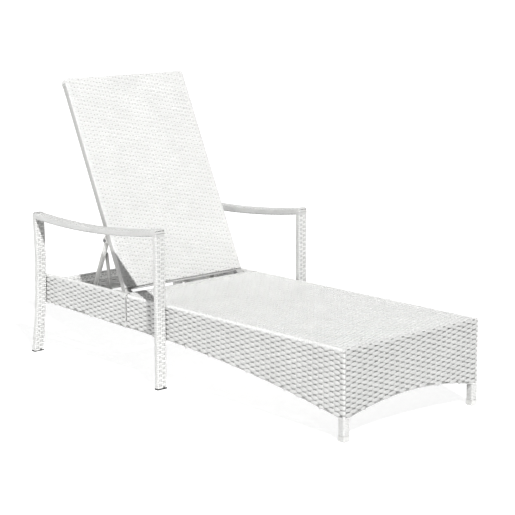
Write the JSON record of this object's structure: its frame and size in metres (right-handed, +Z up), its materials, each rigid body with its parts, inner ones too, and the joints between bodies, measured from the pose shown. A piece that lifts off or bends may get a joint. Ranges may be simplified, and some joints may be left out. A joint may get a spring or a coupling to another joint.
{
  "type": "reclining sun lounger",
  "caption": "Reclining sun lounger with a woven deck, arched woven skirts, bowed strap arms and a backrest that lowers flat on a stay and notched racks.",
  "frame": {"origin": "on the floor, at the middle of the overall width and length", "axes": "+Z up, +Y from the foot end towards the head end, +X towards the right of a person lying on it face up with the head at +Y seen from above"},
  "size_m": [0.746, 1.7079, 1.0854],
  "materials": {
    "weave": "woven resin strand, matte",
    "wrapped_frame": "tube wrapped in resin strand, matte",
    "frame_tube": "white powder coat, satin",
    "bracket_steel": "white powder coat, satin",
    "bolt_steel": "zinc-plated, satin",
    "foot_plastic": "moulded, matte",
    "dark_plastic": "moulded, matte"
  },
  "bodies": {
    "base": {"arm_bolts": "bolt_steel", "arm_front_leg_left": "wrapped_frame", "arm_front_leg_right": "wrapped_frame", "arm_glides": "dark_plastic", "arm_rear_leg_left": "wrapped_frame", "arm_rear_leg_right": "wrapped_frame", "armrest_left": "wrapped_frame", "armrest_right": "wrapped_frame", "deck_bars": "frame_tube", "deck_weave": "weave", "foot_caps": "foot_plastic", "foot_rail": "frame_tube", "foot_skirt": "weave", "foot_skirt_rod": "frame_tube", "front_leg_left": "wrapped_frame", "front_leg_right": "wrapped_frame", "front_posts": "frame_tube", "front_side_rail_left": "frame_tube", "front_side_rail_right": "frame_tube", "front_side_skirt_left": "weave", "front_side_skirt_right": "weave", "front_skirt_rod_left": "frame_tube", "front_skirt_rod_right": "frame_tube", "hinge_pins": "bolt_steel", "hinge_plates": "bracket_steel", "hinge_rail": "wrapped_frame", "link_lugs": "bracket_steel", "link_pins": "bolt_steel", "mid_cross_rail": "frame_tube", "rack_left": "bracket_steel", "rack_right": "bracket_steel", "rack_screws": "bolt_steel", "rear_cross_rail": "wrapped_frame", "rear_panel": "weave", "rear_panel_rod": "frame_tube", "rear_panel_rod_left": "frame_tube", "rear_panel_rod_right": "frame_tube", "rear_posts": "frame_tube", "rear_side_panel_left": "weave", "rear_side_panel_right": "weave", "rear_side_rail_left": "wrapped_frame", "rear_side_rail_right": "wrapped_frame", "seam_bolts": "bolt_steel", "seam_rail": "frame_tube"},
    "backrest": {"back_bottom_rail": "wrapped_frame", "back_side_rail_left": "wrapped_frame", "back_side_rail_right": "wrapped_frame", "back_slats": "frame_tube", "back_top_rail": "wrapped_frame", "back_weave": "weave", "stay_bolts": "bolt_steel", "stay_bracket_left": "bracket_steel", "stay_bracket_right": "bracket_steel"},
    "stay": {"bar_caps": "dark_plastic", "stay_bar": "bracket_steel", "stay_leg_left": "bracket_steel", "stay_leg_right": "bracket_steel"},
    "link": {"link_left": "bracket_steel", "link_right": "bracket_steel", "link_rivets": "bolt_steel"}
  },
  "joints": [
    {"name": "backrest_hinge", "type": "hinge", "parent": "base", "child": "backrest", "pos_m": [0, 0.3436, 0.297], "axis": [1, 0, 0], "range_deg": [-65, 0]},
    {"name": "stay_pivot", "type": "hinge", "parent": "backrest", "child": "stay", "pos_m": [0, 0.46395, 0.48694], "axis": [1, 0, 0], "range_deg": [0, 130.5]},
    {"name": "link_pivot", "type": "hinge", "parent": "base", "child": "link", "pos_m": [0, 0.464, 0.246], "axis": [1, 0, 0], "range_deg": [-78, 0]}
  ],
  "couplings": [
    {"joint": "stay_pivot", "follows": "backrest_hinge", "ratio": -2},
    {"joint": "link_pivot", "follows": "backrest_hinge", "ratio": 1.19}
  ]
}
